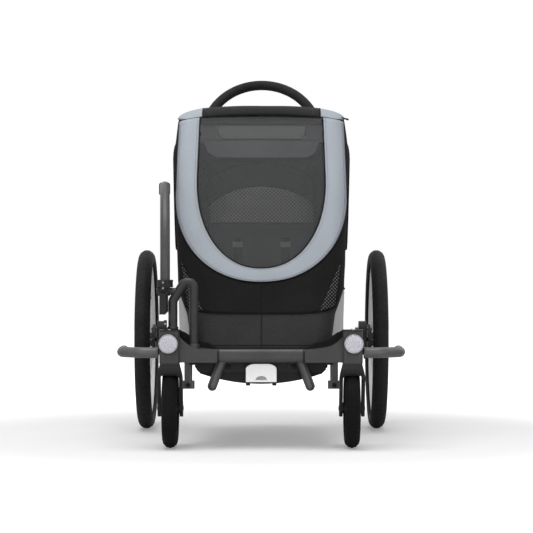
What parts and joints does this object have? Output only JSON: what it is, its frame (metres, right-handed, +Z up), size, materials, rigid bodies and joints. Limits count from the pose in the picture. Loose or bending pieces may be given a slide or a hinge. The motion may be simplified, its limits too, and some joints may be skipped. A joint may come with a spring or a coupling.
{
  "type": "child bicycle trailer",
  "caption": "Child bicycle trailer with a fabric cabin on a low frame, swivelling front castors, spoked rear wheels, a folding drawbar, a tilting handlebar and a folding upper frame.",
  "frame": {"origin": "on the ground, under the middle of the trailer's box", "axes": "+X to the right of the picture, -Y is the front of the trailer, +Z up"},
  "size_m": [0.7252, 0.979, 0.9788],
  "materials": {
    "bar_metal": "satin dark grey powder coat",
    "cast_metal": "dark grey powder coat on castings",
    "frame_metal": "near black powder coat",
    "foot_metal": "satin grey coat",
    "drawbar_metal": "dark anodised tube",
    "rim_metal": "black anodised",
    "bolt_steel": "plain steel",
    "black_plastic": "fine grained moulding",
    "grey_plastic": "fine grained moulding",
    "white_plastic": "white moulding",
    "red_plastic": "red moulding",
    "lamp_lens": "clear prismatic lens over white",
    "grip_foam": "fine foam",
    "tyre": "black rubber",
    "grey_cloth": "dark grey woven",
    "pale_cloth": "pale grey woven",
    "black_cloth": "black woven",
    "band_cloth": "pale blue grey woven",
    "window_mesh": "dark see-through mesh",
    "seat_cloth": "knitted, dark",
    "belt_cloth": "webbing and pads"
  },
  "bodies": {
    "chassis": {"front_crossbar": "bar_metal", "castor_head_left": "cast_metal", "castor_head_right": "cast_metal", "head_lids": "black_plastic", "front_lamps": "lamp_lens", "wheel_guards": "bar_metal", "tube_caps": "black_plastic", "side_rails": "frame_metal", "under_beam": "cast_metal", "stand_feet": "foot_metal", "kit_receivers": "cast_metal", "receiver_bolts": "bolt_steel", "reflector_plate": "white_plastic", "floor_tub": "black_plastic", "seat_pan": "black_plastic", "rear_axle_beam": "frame_metal", "axle_carriers": "cast_metal", "fold_brackets": "cast_metal", "drawbar_bracket": "frame_metal", "drawbar_pin": "bolt_steel", "lower_panel": "grey_cloth", "side_skirt_left": "pale_cloth", "side_skirt_right": "pale_cloth", "side_panel_left": "black_cloth", "side_panel_right": "black_cloth", "rear_panel": "black_cloth", "roof_panel": "grey_cloth", "seat_cushion": "seat_cloth", "backrest_cushion": "seat_cloth", "harness": "belt_cloth"},
    "front_cover": {"cover_band": "band_cloth", "cover_window": "window_mesh", "cover_skirt": "black_cloth"},
    "upper_frame": {"upright_posts": "frame_metal"},
    "roof_bow": {"canopy_bow": "frame_metal"},
    "handlebar": {"handlebar_tube": "frame_metal", "handlebar_grip": "grip_foam"},
    "drawbar_hinge": {"drawbar_knuckle": "black_plastic"},
    "drawbar": {"drawbar_arm": "drawbar_metal", "hitch_coupler": "black_plastic"},
    "hitch_release": {"hitch_button": "red_plastic"},
    "drawbar_lock": {"drawbar_lever": "grey_plastic"},
    "parking_brake": {"brake_pedal": "black_plastic"},
    "brake_bolt_left": {"brake_pin_left": "bolt_steel"},
    "brake_bolt_right": {"brake_pin_right": "bolt_steel"},
    "belt_release": {"buckle_button": "red_plastic"},
    "rear_wheel_left": {"rear_tyre_left": "tyre", "rear_rim_left": "rim_metal", "rear_hub_left": "rim_metal"},
    "wheel_release_left": {"wheel_button_left": "grey_plastic"},
    "castor_left": {"castor_fork_left": "cast_metal"},
    "front_wheel_left": {"castor_tyre_left": "tyre", "castor_wheel_left": "black_plastic"},
    "rear_wheel_right": {"rear_tyre_right": "tyre", "rear_rim_right": "rim_metal", "rear_hub_right": "rim_metal"},
    "wheel_release_right": {"wheel_button_right": "grey_plastic"},
    "castor_right": {"castor_fork_right": "cast_metal"},
    "front_wheel_right": {"castor_tyre_right": "tyre", "castor_wheel_right": "black_plastic"}
  },
  "joints": [
    {"name": "upper_frame_fold", "type": "hinge", "parent": "chassis", "child": "upper_frame", "pos_m": [0, 0.204, 0.33], "axis": [1, 0, 0], "range_deg": [0, 78], "deforming": ["side_panel_left", "side_panel_right", "rear_panel", "roof_panel", "cover_band", "cover_window", "cover_skirt", "backrest_cushion", "harness"]},
    {"name": "roof_bow_fold", "type": "hinge", "parent": "upper_frame", "child": "roof_bow", "pos_m": [0, 0.204, 0.823], "axis": [1, 0, 0], "range_deg": [0, 90]},
    {"name": "handlebar_tilt", "type": "hinge", "parent": "upper_frame", "child": "handlebar", "pos_m": [0, 0.204, 0.823], "axis": [1, 0, 0], "range_deg": [-60, 20]},
    {"name": "front_cover_lift", "type": "hinge", "parent": "chassis", "child": "front_cover", "pos_m": [0, -0.1005, 0.849], "axis": [1, 0, 0], "range_deg": [-100, 0]},
    {"name": "drawbar_fold", "type": "hinge", "parent": "chassis", "child": "drawbar_hinge", "pos_m": [-0.2385, -0.4275, 0.392], "axis": [1, 0, 0], "range_deg": [0, 95]},
    {"name": "drawbar_turn", "type": "hinge", "parent": "drawbar_hinge", "child": "drawbar", "pos_m": [-0.2385, -0.4275, 0.421], "axis": [0, 0, 1], "range_deg": [0, 270]},
    {"name": "hitch_press", "type": "slide", "parent": "drawbar", "child": "hitch_release", "axis": [0.0523, -0.9986, 0], "range_m": [0, 0.004], "stiffness_N_per_m": 300},
    {"name": "drawbar_lock_swing", "type": "hinge", "parent": "drawbar_hinge", "child": "drawbar_lock", "pos_m": [-0.244, -0.445, 0.386], "axis": [1, 0, 0], "range_deg": [-35, 0]},
    {"name": "brake_press", "type": "hinge", "parent": "chassis", "child": "parking_brake", "pos_m": [0, 0.2735, 0.246], "axis": [-1, 0, 0], "range_deg": [0, 18]},
    {"name": "brake_bolt_left_slide", "type": "slide", "parent": "chassis", "child": "brake_bolt_left", "axis": [-1, 0, 0], "range_m": [0, 0.006]},
    {"name": "brake_bolt_right_slide", "type": "slide", "parent": "chassis", "child": "brake_bolt_right", "axis": [1, 0, 0], "range_m": [0, 0.006]},
    {"name": "belt_press", "type": "slide", "parent": "chassis", "child": "belt_release", "axis": [0, 0, -1], "range_m": [0, 0.002], "stiffness_N_per_m": 300},
    {"name": "rear_wheel_left_spin", "type": "hinge", "parent": "chassis", "child": "rear_wheel_left", "pos_m": [-0.322, 0.2395, 0.25], "axis": [1, 0, 0], "continuous": true},
    {"name": "wheel_release_left_press", "type": "slide", "parent": "rear_wheel_left", "child": "wheel_release_left", "axis": [1, 0, 0], "range_m": [0, 0.0015], "stiffness_N_per_m": 300},
    {"name": "castor_left_swivel", "type": "hinge", "parent": "chassis", "child": "castor_left", "pos_m": [-0.227, -0.4275, 0.214], "axis": [0, 0, 1], "continuous": true},
    {"name": "front_wheel_left_spin", "type": "hinge", "parent": "castor_left", "child": "front_wheel_left", "pos_m": [-0.227, -0.3895, 0.1], "axis": [1, 0, 0], "continuous": true},
    {"name": "rear_wheel_right_spin", "type": "hinge", "parent": "chassis", "child": "rear_wheel_right", "pos_m": [0.322, 0.2395, 0.25], "axis": [1, 0, 0], "continuous": true},
    {"name": "wheel_release_right_press", "type": "slide", "parent": "rear_wheel_right", "child": "wheel_release_right", "axis": [-1, 0, 0], "range_m": [0, 0.0015], "stiffness_N_per_m": 300},
    {"name": "castor_right_swivel", "type": "hinge", "parent": "chassis", "child": "castor_right", "pos_m": [0.227, -0.4275, 0.214], "axis": [0, 0, 1], "continuous": true},
    {"name": "front_wheel_right_spin", "type": "hinge", "parent": "castor_right", "child": "front_wheel_right", "pos_m": [0.227, -0.3895, 0.1], "axis": [1, 0, 0], "continuous": true}
  ],
  "couplings": [
    {"joint": "roof_bow_fold", "follows": "upper_frame_fold", "ratio": 1.12},
    {"joint": "brake_bolt_left_slide", "follows": "brake_press", "m_per_rad": 0.019},
    {"joint": "brake_bolt_right_slide", "follows": "brake_press", "m_per_rad": 0.019}
  ]
}
